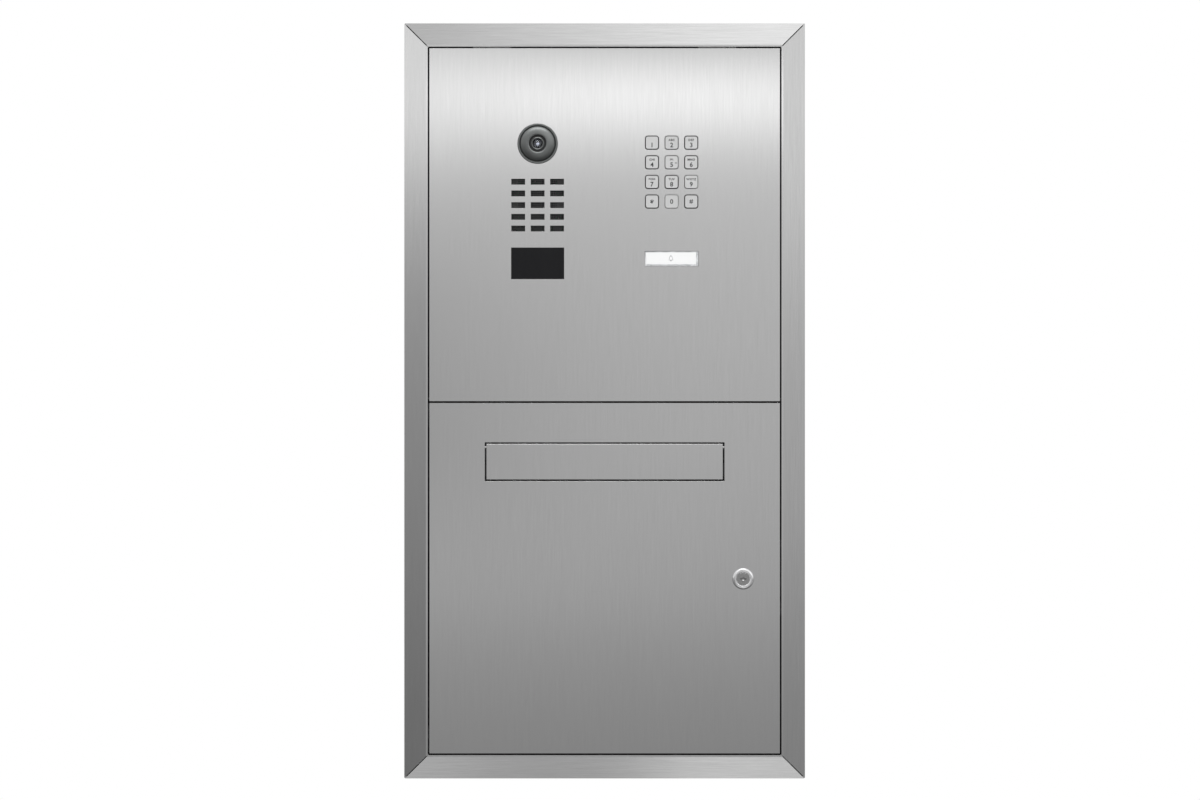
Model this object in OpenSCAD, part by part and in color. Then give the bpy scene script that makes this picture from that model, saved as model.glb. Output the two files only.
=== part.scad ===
// Flush-mounted video door station with a letterbox below it.
// +X is right and +Z is up as seen from the street, and +Y points into the wall.
// The origin is the centre of the four wall-fixing holes, on the rear face of the wall box.

/* [Front] */
// Width over the trim frame
overall_w = 425; // [415:1:440]
// Height over the trim frame
overall_h = 801; // [796:1:820]
// Width of the trim's face
trim_w = 25; // [22:1:28]
// How far the trim's outer edge lies behind its inner edge
trim_slope = 3; // [0:0.5:4]
// Gap between the trim and the panels
reveal = 1.75; // [1.5:0.25:2.5]
// Gap between the upper plate and the door
mid_gap = 2; // [1.5:0.25:3]
// Height of the letterbox door
door_h = 371.5; // [365:0.5:375]
// Sheet thickness of the visible panels
sheet = 2; // [1.5:0.25:2]

/* [Depth] */
// Depth of the box behind the wall's surface
box_depth = 100; // [96:1:140]
// How far the front stands off the wall
proud = 12; // [11:1:14]
// Sheet thickness of the wall box
box_sheet = 1.5; // [1:0.25:2]
// Spacing of the wall-fixing holes across
fixing_x = 300; // [280:5:320]
// Spacing of the wall-fixing holes up and down
fixing_z = 650; // [600:5:680]
// Diameter of a wall-fixing hole
fixing_d = 6.5; // [5:0.5:8]
// Bore of the cable grommet
cable_d = 12; // [8:0.5:12]

/* [Station] */
// Distance of both columns from the centreline
column_x = 71; // [68:0.5:75]
// Height of the camera
camera_z = 272.7; // [268:0.1:277]
// Diameter of the camera's outer ring
camera_d = 43; // [42:0.5:46]
// Height of the loudspeaker grille
grille_z = 207.5; // [205:0.1:210]
// Width of one grille slot
slot_w = 14.6; // [10:0.1:16]
// Height of one grille slot
slot_h = 6.2; // [4:0.1:8]
// Slot spacing across
slot_pitch_x = 20.6; // [18:0.1:21]
// Slot spacing up and down
slot_pitch_z = 12.4; // [10:0.1:13]
// Height of the sensor window
sensor_z = 145.8; // [144:0.1:148]
// Width of the sensor window
sensor_w = 56; // [50:0.5:58]
// Height of the sensor window's glass
sensor_h = 33.3; // [30:0.1:34]

/* [Keys] */
// Height of the keypad's centre
keypad_z = 242.5; // [238:0.1:246]
// Key spacing
key_pitch = 20.8; // [19.5:0.1:22]
// Side of a key cap
key_w = 13.9; // [12:0.1:15]
// Gap round a key cap
key_gap = 0.6; // [0.25:0.05:0.6]
// Travel of a key
key_travel = 1; // [0.5:0.1:1]
// Height of the call button
button_z = 150.7; // [148:0.1:153]
// Width of the call button
button_w = 56.2; // [50:0.1:58]
// Height of the call button's cap
button_h = 15.2; // [13:0.1:16]
// Travel of the call button
button_travel = 1.2; // [0.5:0.1:1.2]

/* [Letterbox] */
// Width of the letter slot
letter_w = 254; // [230:1:260]
// Height of the letter slot
letter_h = 41; // [35:0.5:42]
// Height of the slot's centre
letter_z = -64.5; // [-70:0.5:-62]
// Gap round the flap
flap_gap = 1.5; // [1:0.1:1.5]
// Distance of the lock from the centreline
lock_x = 146.8; // [146:0.1:148]
// Height of the lock
lock_z = -188.5; // [-220:0.5:-150]
// Diameter of the lock's head
lock_d = 22.8; // [21:0.1:25]
// Distance of the door's hinge axis from its left edge
hinge_inset = 18; // [17:0.5:20]
// Depth of the door's hinge axis behind its face
hinge_depth = 7; // [6.5:0.1:7]

/* [Hidden] */

$fn = 64;
running = 0.05;      // radial clearance of a pin or stem in its bore
cut = 1;             // how far a cutting shape runs past a face

// Planes that everything is placed from
front = -(box_depth + proud);
wall = -box_depth;
panel_back = front + sheet;
half_w = overall_w / 2;
half_h = overall_h / 2;
open_x = half_w - trim_w;
open_z = half_h - trim_w;
panel_x = open_x - reveal;
plate_top = open_z - reveal;
door_bottom = -plate_top;
door_top = door_bottom + door_h;
plate_bottom = door_top + mid_gap;

// Trim and wall box
trim_sheet = 2;
trim_inner_return = 22;
mitre_gap = 1.1;
box_in_x = open_x + trim_sheet + 0.5;
box_in_z = open_z + trim_sheet + 0.5;
box_out_x = box_in_x + box_sheet;
box_out_z = box_in_z + box_sheet;
rim = 12;
screw_y = front + 16;
grommet_x = -100;
grommet_y = -40;
grommet_r = cable_d / 2 + 3;
knock_r = 11;

// Panel returns
side_return = 12;
bottom_return = 28;
top_return = 26;
door_return = 15;
shelf_z = plate_bottom + sheet + 0.25;
plate_screw_x = 120;
plate_screw_y = front + 22;

// Electronics
cover_x = 140;
cover_z0 = 100;
cover_z1 = 335;
cover_back = -60;
cover_wall = 2;
board = 1.6;
main_y = cover_back - 14;
key_back = panel_back + 0.2;
key_flange = 1.2;
key_corner = 2.6;
key_stem_end = key_back + 4.9;
guide_y = key_back + key_flange + key_travel + 0.6;
mat_y = key_stem_end + key_travel + 0.2;

// Hinge, flap and lock
hinge_x = -panel_x + hinge_inset;
hinge_y = front + hinge_depth;
hinge_pin_r = 2.5;
arm = 3;
flap_roll = 3.8;
flap_sheet = 1.5;
flap_top = letter_z + letter_h / 2 - flap_gap;
flap_bottom = letter_z - letter_h / 2 + flap_gap;
flap_x = letter_w / 2 - flap_gap - 0.1;
flap_axis_y = front + flap_roll;
flap_axis_z = flap_top - flap_roll;
rod_r = 1.5;
cheek_x = letter_w / 2 + 6;
roof_z = letter_z + letter_h / 2 + 3;
knuckle_x = flap_x - 17.7;
spring_x = flap_x - 3.7;
hood_y = front + 44;
barrel_end = front + 18;
plug_r = 7;
cam_y = barrel_end + 0.5;
cam_len = 37.5;
strike_y = cam_y - 2.5;

// A flat outline in X and Z, given a thickness along Y
module slab(y0, depth) {
    translate([0, y0 + depth, 0]) rotate([90, 0, 0]) linear_extrude(depth) children();
}

// A block between two corners
module block(x0, x1, y0, y1, z0, z1) {
    translate([x0, y0, z0]) cube([x1 - x0, y1 - y0, z1 - z0]);
}

// A round bar along Y, from y0 to y1
module bar_y(x, z, y0, y1, r) {
    translate([x, y1, z]) rotate([90, 0, 0]) cylinder(r = r, h = y1 - y0);
}

// A turned part facing the street: the profile is [radius, height above the front plane]
module turned(x, z) {
    translate([x, front, z]) rotate([90, 0, 0]) rotate_extrude() children();
}

// A rectangle with round corners
module rounded(w, h, r) {
    square([w - 2 * r, h], center = true);
    square([w, h - 2 * r], center = true);
    for (sx = [-1, 1], sz = [-1, 1])
        translate([sx * (w / 2 - r), sz * (h / 2 - r)]) circle(r);
}

// ---- Wall box and trim ----

// Centres of the trim screws on the upper and side members: [x, z, turn about Y]
trim_screw_sides = [for (s = [-1, 1], z = [-340, -110, 110, 340]) [s * open_x, z, s * 90]];
trim_screw_ends = [for (s = [-1, 1], x = [-130, 130]) [x, s * open_z, s > 0 ? 0 : 180]];
trim_screw_places = concat(trim_screw_sides, trim_screw_ends);

module at_trim_screws() {
    for (p = trim_screw_places)
        translate([p[0], screw_y, p[1]]) rotate([0, p[2], 0]) children();
}

module wall_box() {
    color("silver")
    difference() {
        union() {
            block(-box_out_x, box_out_x, wall - box_sheet, 0, -box_out_z, box_out_z);
            block(-box_in_x - rim, box_in_x + rim, wall - box_sheet, wall,
                  -box_in_z - rim, box_in_z + rim);
        }
        block(-box_in_x, box_in_x, wall - box_sheet - cut, -box_sheet, -box_in_z, box_in_z);
        for (sx = [-1, 1], sz = [-1, 1])
            bar_y(sx * fixing_x / 2, sz * fixing_z / 2, -box_sheet - cut, cut, fixing_d / 2);
        for (x = [-60, 60])
            translate([x, -50, -box_out_z - cut]) cylinder(r = 3, h = box_sheet + 2 * cut);
        translate([grommet_x, grommet_y, box_in_z - cut])
            cylinder(r = grommet_r, h = box_sheet + 2 * cut);
        at_trim_screws() cylinder(r = 2.05, h = 6);
        for (p = [[100, -50], [0, -50]])
            translate([p[0], p[1], box_out_z]) knock_out();
        for (s = [-1, 1], z = [60, 250])
            translate([s * box_out_x, -50, z]) rotate([0, s * 90, 0]) knock_out();
        for (x = [-70, 70], z = [60, 300])
            translate([x, 0, z]) rotate([-90, 0, 0]) knock_out();
    }
}

// A ring cut half through the sheet, broken by two bridges, for a cable hole that can be pushed out
module knock_out() {
    difference() {
        translate([0, 0, -box_sheet / 2]) cylinder(r = knock_r, h = box_sheet);
        translate([0, 0, -box_sheet]) cylinder(r = knock_r - 0.8, h = 2 * box_sheet);
        cube([2 * knock_r + 2, 3, 2 * box_sheet], center = true);
    }
}

module divider_shelf() {
    side = box_in_x - 0.4;
    neck = open_x - 0.5;
    step_y = front + trim_inner_return + 1;
    color("silver")
    difference() {
        union() {
            block(-neck, neck, front + 15.5, step_y, shelf_z, shelf_z + box_sheet);
            block(-side, side, step_y, -box_sheet, shelf_z, shelf_z + box_sheet);
            block(-side, side, -2 * box_sheet, -box_sheet, shelf_z, shelf_z + 16);
            for (s = [-1, 1])
                translate([s * (side - box_sheet / 2), (step_y - box_sheet) / 2, shelf_z + 6])
                    cube([box_sheet, -box_sheet - step_y, 12], center = true);
        }
        for (s = [-1, 1])
            translate([s * plate_screw_x, plate_screw_y, shelf_z - cut]) cylinder(r = 2.05, h = 5);
    }
}

// The outline that cuts a member's ends to 45 degrees, half as long as given at the outer edge
module mitred(half) {
    polygon([[-half, 0], [half, 0], [half - trim_w, -trim_w], [trim_w - half, -trim_w]]);
}

// One mitred member of the trim, lying along X with its outer edge at z = reach; its face slopes back.
// The joint is open at the face and nearly closed behind it.
module trim_member(length, reach) {
    deep = front + trim_slope + trim_sheet + 1;
    color("silver")
    difference() {
        intersection() {
            translate([-length / 2, 0, reach]) rotate([90, 0, 90]) linear_extrude(length)
                union() {
                    polygon([[front, -trim_w], [front + trim_slope, 0],
                             [front + trim_slope + trim_sheet, 0], [front + trim_sheet, -trim_w]]);
                    translate([front + trim_slope, -trim_sheet])
                        square([wall - front - trim_slope, trim_sheet]);
                    translate([front, -trim_w]) square([trim_inner_return, trim_sheet]);
                }
            translate([0, 0, reach])
                union() {
                    slab(front - cut, deep - front + 2 * cut)
                        mitred(length / 2 - mitre_gap / sqrt(2));
                    slab(deep, trim_inner_return) mitred(length / 2 - 0.15);
                }
        }
        children();
    }
}

// A countersunk hole for each trim screw, in a member's own position
module trim_screw_cuts() {
    at_trim_screws() {
        cylinder(r = 2.15, h = 8, center = true);
        translate([0, 0, -0.01]) cylinder(r1 = 3.85, r2 = 2.15, h = 1.75);
    }
}

module trim_top() {
    difference() {
        trim_member(overall_w, half_h);
        trim_screw_cuts();
    }
}

module trim_bottom() {
    difference() {
        mirror([0, 0, 1]) trim_member(overall_w, half_h);
        trim_screw_cuts();
    }
}

module trim_left() {
    difference() {
        rotate([0, -90, 0]) trim_member(overall_h, half_w);
        trim_screw_cuts();
    }
}

module trim_right() {
    difference() {
        rotate([0, 90, 0]) trim_member(overall_h, half_w);
        trim_screw_cuts();
    }
}

module corner_brackets() {
    thick = 3;
    width = 12;
    leg = 60;
    y0 = front + trim_slope + trim_sheet;
    x1 = half_w - trim_sheet;
    z1 = half_h - trim_sheet;
    color("silver")
    for (sx = [0, 1], sz = [0, 1])
        mirror([sx, 0, 0]) mirror([0, 0, sz])
            difference() {
                union() {
                    block(x1 - leg, x1, y0, y0 + thick, z1 - width, z1);
                    block(x1 - width, x1, y0, y0 + thick, z1 - leg, z1);
                }
                for (d = [20, 48]) {
                    bar_y(x1 - d, z1 - width / 2, y0 - cut, y0 + thick + cut, 2);
                    bar_y(x1 - width / 2, z1 - d, y0 - cut, y0 + thick + cut, 2);
                }
            }
}

module trim_screws() {
    color("gainsboro")
    at_trim_screws()
        difference() {
            union() {
                translate([0, 0, 0.15]) cylinder(r1 = 3.6, r2 = 2, h = 1.6);
                translate([0, 0, 1]) cylinder(r = 2, h = 6);
            }
            translate([0, 0, -cut]) cylinder(r = 1.3, h = 2, $fn = 6);
        }
}

module cable_grommet() {
    color("black")
    translate([grommet_x, grommet_y, box_in_z])
        difference() {
            union() {
                translate([0, 0, -2.5]) cylinder(r = grommet_r + 3, h = 2.5);
                cylinder(r = grommet_r, h = box_sheet);
                translate([0, 0, box_sheet]) cylinder(r = grommet_r + 3, h = 2.5);
            }
            translate([0, 0, -5]) cylinder(r = cable_d / 2, h = 12);
        }
}

// ---- Upper plate ----

module front_plate() {
    color("silver")
    difference() {
        union() {
            block(-panel_x, panel_x, front, panel_back, plate_bottom, plate_top);
            for (s = [-1, 1])
                translate([s * (panel_x - sheet / 2), front + side_return / 2,
                           (plate_bottom + plate_top) / 2])
                    cube([sheet, side_return, plate_top - plate_bottom], center = true);
            block(-panel_x, panel_x, front, front + bottom_return, plate_bottom, plate_bottom + sheet);
            block(-panel_x, panel_x, front, front + top_return, plate_top - sheet, plate_top);
            for (s = [-1, 1])
                block(s * 120 - 20, s * 120 + 20, front + top_return - sheet, front + top_return,
                      plate_top - sheet, plate_top + 3.4);
        }
        bar_y(-column_x, camera_z, front - cut, panel_back + cut, camera_d / 2 - 1.2);
        for (i = [-1:1], j = [-2:2])
            translate([-column_x + i * slot_pitch_x, 0, grille_z + j * slot_pitch_z])
                slab(front - cut, sheet + 2 * cut) square([slot_w, slot_h], center = true);
        translate([-column_x, 0, sensor_z])
            slab(front - cut, sheet + 2 * cut) square([sensor_w + 0.2, sensor_h + 0.2], center = true);
        for (i = [-1:1], j = [0:3])
            translate([column_x + i * key_pitch, 0, keypad_z + (j - 1.5) * key_pitch])
                slab(front - cut, sheet + 2 * cut)
                    rounded(key_w + 2 * key_gap, key_w + 2 * key_gap, key_corner + key_gap);
        translate([column_x, 0, button_z])
            slab(front - cut, sheet + 2 * cut)
                square([button_w + 0.8, button_h + 0.8], center = true);
        for (s = [-1, 1])
            translate([s * plate_screw_x, plate_screw_y, plate_bottom - cut])
                cylinder(r = 2.15, h = sheet + 2 * cut);
    }
}

module plate_screws() {
    color("gainsboro")
    for (s = [-1, 1])
        translate([s * plate_screw_x, plate_screw_y, plate_bottom])
            difference() {
                union() {
                    translate([0, 0, -2.4]) cylinder(r = 3.8, h = 2.4);
                    translate([0, 0, -0.5]) cylinder(r = 2, h = 10);
                }
                translate([0, 0, -3]) cylinder(r = 1.6, h = 2, $fn = 6);
            }
}

module camera_bezel() {
    r = camera_d / 2;
    color("dimgray")
    turned(-column_x, camera_z)
        polygon([[r - 2.6, 0.5], [r - 1.9, 1], [r - 0.6, 1], [r, 0], [r - 1.3, 0],
                 [r - 1.3, -6], [r - 2.6, -6]]);
}

// The convex ring round the lens, an arc from the bezel up to the lens seat
module camera_cone() {
    r1 = camera_d / 2 - 2.8;
    r0 = 10.3;
    rise = 4.4;
    steps = 10;
    color("dimgray")
    turned(-column_x, camera_z)
        polygon(concat(
            [for (i = [0:steps]) let (a = 90 * i / steps)
                [r0 + (r1 - r0) * cos(a), -0.4 + rise * sin(a)]],
            [[r0 - 1.2, rise - 0.8], [r0 - 1.8, 0.4], [r0 - 1.8, -6], [r1, -6]]));
}

module lens_barrel() {
    color("black")
    turned(-column_x, camera_z)
        polygon([[4.2, -3], [5, 1.6], [6.2, 2.2], [7, 1.4], [8.4, 1.4], [8.4, -10], [4.2, -10]]);
}

module lens_glass() {
    steps = 8;
    color("midnightblue")
    turned(-column_x, camera_z)
        polygon(concat([[0, -2.5]], [[4.1, -2.5]],
            [for (i = [0:steps]) let (a = 90 * i / steps) [4.1 * cos(a), -0.6 + 1.6 * sin(a)]]));
}

module camera_module() {
    color("darkslategray")
    difference() {
        union() {
            translate([-column_x, 0, camera_z]) slab(front + 10, 12) rounded(34, 34, 3);
            translate([-column_x, 0, camera_z]) slab(front + 22, board) square([44, 44], center = true);
            bar_y(-column_x, camera_z, front + 22, front + 28, 11);
        }
        bar_y(-column_x, camera_z, front + 9, front + 16, 8.6);
        for (sx = [-1, 1], sz = [-1, 1])
            bar_y(-column_x + sx * 19, camera_z + sz * 19, front + 20, front + 25, 1.2);
    }
}

module speaker_mesh() {
    y0 = panel_back + 1.4;
    color("black")
    difference() {
        translate([-column_x, 0, grille_z]) slab(y0, 0.8) rounded(64, 66, 3);
        at_mesh_screws() bar_y(0, 0, y0 - cut, y0 + 2 * cut, 1.3);
    }
}

module at_mesh_screws() {
    for (s = [-1, 1], row = [0, 2])
        translate([-column_x + s * (slot_pitch_x + 4), 0, grille_z + row * slot_pitch_z]) children();
}

module mesh_screws() {
    y0 = panel_back + 1.4;
    color("gray")
    at_mesh_screws()
        difference() {
            union() {
                bar_y(0, 0, y0 - 1.2, y0, 2.3);
                bar_y(0, 0, y0 - 0.2, y0 + 4.6, 1.25);
            }
            slab(y0 - 2, 1.4) square([0.7, 3], center = true);
            slab(y0 - 2, 1.4) square([3, 0.7], center = true);
        }
}

module speaker_driver() {
    y0 = -(sheet + 2.6);
    color("dimgray")
    turned(-column_x, grille_z)
        polygon([[0, y0 - 5], [6, y0 - 4], [18, y0 - 0.8], [21, y0 - 0.3], [22.2, y0 - 1.2],
                 [22.2, y0], [23, y0], [23, y0 - 3], [20.5, y0 - 4], [14, y0 - 12],
                 [14, y0 - 19], [0, y0 - 19]]);
}

module microphone() {
    y0 = panel_back + 2.2;
    color("black")
    translate([-column_x + slot_pitch_x, 0, grille_z - 2 * slot_pitch_z])
        difference() {
            bar_y(0, 0, y0, y0 + 6.5, 4);
            bar_y(0, 0, y0 - cut, y0 + 1.5, 1);
        }
}

module sensor_window() {
    color("black")
    translate([-column_x, 0, sensor_z]) {
        slab(front, sheet) square([sensor_w, sensor_h], center = true);
        slab(panel_back, 1.5) square([sensor_w + 6, sensor_h + 2.4], center = true);
    }
}

module sensor_board() {
    color("green")
    translate([-column_x, 0, sensor_z]) {
        slab(panel_back + 7, board) square([sensor_w + 2, sensor_h + 2], center = true);
        for (sx = [-1, 1], sz = [-1, 1])
            bar_y(sx * 26, sz * 14.5, panel_back + 1.5, panel_back + 7, 2.2);
        bar_y(12, 0, panel_back + 3, panel_back + 7, 4.5);
    }
}

// ---- Keypad ----

// Column -1, 0 or 1 from the left, and row 0 at the bottom to 3 at the top
module key(column, row) {
    translate([column_x + column * key_pitch, 0, keypad_z + (row - 1.5) * key_pitch]) {
        color("gainsboro") slab(front - 0.5, key_back - front + 0.5) rounded(key_w, key_w, key_corner);
        color("gainsboro") slab(key_back, key_flange) rounded(17.2, 17.2, 2);
        color("gainsboro") bar_y(0, 0, key_back + key_flange, key_stem_end, 3);
    }
}

module key_1() { key(-1, 3); }
module key_2() { key(0, 3); }
module key_3() { key(1, 3); }
module key_4() { key(-1, 2); }
module key_5() { key(0, 2); }
module key_6() { key(1, 2); }
module key_7() { key(-1, 1); }
module key_8() { key(0, 1); }
module key_9() { key(1, 1); }
module key_star() { key(-1, 0); }
module key_0() { key(0, 0); }
module key_hash() { key(1, 0); }

module key_guide() {
    color("darkslategray")
    translate([column_x, 0, keypad_z])
        difference() {
            union() {
                slab(guide_y, 1.8) rounded(72, 92, 4);
                for (sx = [-1, 1], sz = [-1, 1])
                    bar_y(sx * 32.5, sz * 42.5, panel_back, guide_y, 2.5);
            }
            for (i = [-1:1], j = [0:3])
                bar_y(i * key_pitch, (j - 1.5) * key_pitch, guide_y - cut, guide_y + 4, 3 + running);
        }
}

module key_mat() {
    color("gray")
    translate([column_x, 0, keypad_z]) {
        slab(mat_y + 1.2, 1) rounded(66, 86, 3);
        for (i = [-1:1], j = [0:3])
            translate([i * key_pitch, mat_y + 1.4, (j - 1.5) * key_pitch])
                rotate([90, 0, 0]) cylinder(r1 = 5, r2 = 3.2, h = 1.4);
    }
}

module keypad_board() {
    color("green")
    translate([column_x, 0, keypad_z])
        difference() {
            slab(mat_y + 2.2, board) rounded(70, 90, 3);
            for (sx = [-1, 1], sz = [-1, 1])
                bar_y(sx * 32, sz * 42, mat_y, mat_y + 6, 1.3);
        }
}

// ---- Call button ----

button_face = front + 0.4;
button_back = panel_back + 0.2;
button_guide_y = button_back + 4.1;
button_stem_x = 21;
label_shift_x = -0.7;
label_shift_z = 0.5;

module call_button() {
    color("white")
    translate([column_x, 0, button_z])
        difference() {
            union() {
                slab(button_face, button_back - button_face)
                    square([button_w, button_h], center = true);
                slab(button_back, 1.2) square([button_w + 3.6, button_h + 3.6], center = true);
                for (s = [-1, 1])
                    bar_y(s * button_stem_x, 0, button_back + 1, button_back + 7.6, 2);
                bar_y(0, 0, button_back + 1, button_back + 3.6, 2);
            }
            translate([label_shift_x, 0, label_shift_z])
                slab(button_face - cut, cut + 0.5)
                    square([button_w - 2.6, button_h - 2.4], center = true);
        }
}

module name_plate() {
    color("white")
    translate([column_x + label_shift_x, 0, button_z + label_shift_z])
        slab(button_face + 0.1, 0.4) square([button_w - 2.8, button_h - 2.6], center = true);
}

module button_guide() {
    color("darkslategray")
    translate([column_x, 0, button_z])
        difference() {
            union() {
                slab(button_guide_y, 2) square([66, 24], center = true);
                for (s = [-1, 1])
                    translate([s * 31.9, (panel_back + button_guide_y) / 2, 0])
                        cube([2, button_guide_y - panel_back, 24], center = true);
            }
            for (s = [-1, 1])
                bar_y(s * button_stem_x, 0, button_guide_y - cut, button_guide_y + 4, 2 + running);
            slab(button_guide_y - cut, 5) square([26, 10], center = true);
        }
}

module button_springs() {
    y0 = button_back + 1.2 + button_travel + 0.1;
    color("gainsboro")
    translate([column_x, 0, button_z])
        for (s = [-1, 1])
            difference() {
                bar_y(s * button_stem_x, 0, y0, button_guide_y, 3);
                bar_y(s * button_stem_x, 0, y0 - cut, button_guide_y + cut, 2.3);
            }
}

module button_board() {
    y0 = button_guide_y + 5.2;
    color("green")
    translate([column_x, 0, button_z]) {
        slab(y0, board) square([62, 22], center = true);
        slab(button_back + 3.6 + button_travel + 0.1, 4) square([6, 6], center = true);
        slab(button_back + 8, y0 - button_back - 8) square([7, 7], center = true);
        for (s = [-1, 1])
            translate([s * 30, (button_guide_y + 2 + y0) / 2, 0])
                cube([2, y0 - button_guide_y - 2, 18], center = true);
    }
}

// ---- Rear electronics ----

module main_board() {
    color("green")
    difference() {
        union() {
            block(-112, 112, main_y, main_y + board, cover_z0 + 10, cover_z1 - 12);
            block(-22, 22, main_y - 2.2, main_y, 205, 249);
            block(55, 75, main_y - 1.2, main_y, 215, 235);
            block(-95, -79, main_y - 12, main_y, 115, 136);
        }
        for (sx = [-1, 1], z = [125, 312])
            bar_y(sx * 104, z, main_y - cut, main_y + 4, 1.6);
    }
}

module electronics_cover() {
    y0 = panel_back;
    w = cover_wall;
    flange = 12;
    color("darkslategray")
    difference() {
        union() {
            difference() {
                block(-cover_x, cover_x, y0, cover_back, cover_z0, cover_z1);
                block(-cover_x + w, cover_x - w, y0 - cut, cover_back - w, cover_z0 + w, cover_z1 - w);
            }
            difference() {
                block(-cover_x - flange, cover_x + flange, y0, y0 + w, cover_z0 - flange, cover_z1 + flange);
                block(-cover_x + w, cover_x - w, y0 - cut, y0 + w + cut, cover_z0 + w, cover_z1 - w);
            }
            for (sx = [-1, 1], z = [125, 312])
                bar_y(sx * 104, z, main_y + board, cover_back, 3.5);
        }
        block(-35, 35, cover_back - w - cut, cover_back + cut, 111, 129);
        at_cover_screws() bar_y(0, 0, y0 - cut, y0 + w + cut, 2.15);
    }
}

module at_cover_screws() {
    for (sx = [-1, 0, 1], z = [cover_z0 - 6, cover_z1 + 6]) translate([sx * 110, 0, z]) children();
}

module cover_screws() {
    y0 = panel_back;
    color("gainsboro")
    at_cover_screws() {
        bar_y(0, 0, y0, y0 + 9, 2);
        difference() {
            bar_y_hex(y0 + cover_wall, 3.2, 4);
            bar_y(0, 0, y0, y0 + 9, 1.9);
        }
    }
}

// A hexagonal nut blank of the given thickness, along Y
module bar_y_hex(y0, depth, r) {
    translate([0, y0 + depth, 0]) rotate([90, 0, 0]) cylinder(r = r, h = depth, $fn = 6);
}

module terminal_block() {
    color("forestgreen")
    difference() {
        block(-32, 32, main_y + board, cover_back + 6, 113, 127);
        for (i = [-5:5])
            bar_y(i * 5.6, 120, cover_back + 2, cover_back + 6 + cut, 1.8);
    }
}

// ---- Letterbox door ----

// A gooseneck arm in plan, from the box's side wall round behind the hinge axis
module gooseneck(z0, tab_down, tab_up) {
    wall_x = -box_in_x;
    reach = 27;
    elbow_x = hinge_x + reach;
    elbow_y = hinge_y + reach;
    half = 4;
    translate([0, 0, z0]) linear_extrude(arm) union() {
        translate([wall_x, elbow_y - half]) square([elbow_x - wall_x, 2 * half]);
        translate([elbow_x, elbow_y]) circle(half);
        translate([hinge_x, hinge_y]) rotate(45) translate([0, -half])
            square([reach * sqrt(2), 2 * half]);
        translate([hinge_x, hinge_y]) circle(half + 0.5);
    }
    difference() {
        block(wall_x, wall_x + arm, elbow_y - 11, elbow_y + 25, z0 - tab_down, z0 + arm + tab_up);
        for (y = [elbow_y - 1, elbow_y + 17])
            translate([wall_x - cut, y, z0 + (tab_up > tab_down ? 15 : -12)]) rotate([0, 90, 0])
                cylinder(r = 2.2, h = arm + 2 * cut);
    }
}

arm_top_z = door_top - sheet - 1.5 - arm;
arm_bottom_z = door_bottom + sheet + 2;

module hinge_arms() {
    color("gray")
    union() {
        gooseneck(arm_top_z, 20, 4);
        translate([hinge_x, hinge_y, arm_top_z]) cylinder(r = hinge_pin_r, h = door_top - 0.3 - arm_top_z);
        gooseneck(arm_bottom_z, 5, 20);
        translate([hinge_x, hinge_y, door_bottom + 0.3])
            cylinder(r = hinge_pin_r, h = arm_bottom_z + arm - door_bottom - 0.3);
    }
}

module hinge_bushes() {
    bore = hinge_pin_r + running;
    color("goldenrod")
    translate([hinge_x, hinge_y, 0]) {
        difference() {
            union() {
                translate([0, 0, door_top - sheet]) cylinder(r = 3.6, h = sheet);
                translate([0, 0, door_top - sheet - 1.4]) cylinder(r = 4.6, h = 1.4);
            }
            translate([0, 0, door_top - 10]) cylinder(r = bore, h = 20);
        }
        difference() {
            union() {
                translate([0, 0, door_bottom]) cylinder(r = 3.6, h = sheet);
                translate([0, 0, door_bottom + sheet]) cylinder(r = 4.6, h = 1.4);
            }
            translate([0, 0, door_bottom - 10]) cylinder(r = bore, h = 20);
        }
    }
}

// A stepped bracket: its front leg catches the cam, and its rear leg is fixed to the box's side
module strike_plate() {
    side = box_in_x;
    step_x = open_x - 0.5;
    step_y = front + trim_inner_return + 1;
    t = 1.5;
    color("gray")
    difference() {
        translate([0, 0, lock_z - 40]) linear_extrude(80) union() {
            translate([step_x - 15, strike_y]) square([15, t]);
            translate([step_x - t, strike_y]) square([t, step_y + t - strike_y]);
            translate([step_x - t, step_y]) square([side - step_x + t, t]);
            translate([side - t, step_y]) square([t, 28]);
        }
        for (s = [-1, 1])
            translate([side - 3, step_y + 16, lock_z + s * 28]) rotate([0, 90, 0])
                cylinder(r = 2, h = 5);
    }
}

module door_panel() {
    y1 = front + door_return;
    color("silver")
    difference() {
        union() {
            block(-panel_x, panel_x, front, panel_back, door_bottom, door_top);
            block(-panel_x, panel_x, front, y1, door_top - sheet, door_top);
            block(-panel_x, panel_x, front, y1, door_bottom, door_bottom + sheet);
            block(panel_x - sheet, panel_x, front, y1, door_bottom, door_top);
        }
        translate([0, 0, letter_z])
            slab(front - cut, sheet + 2 * cut) square([letter_w, letter_h], center = true);
        bar_y(lock_x, lock_z, front - cut, panel_back + cut, 9.5);
        for (z = [door_top, door_bottom])
            translate([hinge_x, hinge_y, z - 5]) cylinder(r = 3.6, h = 10);
    }
}

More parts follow.
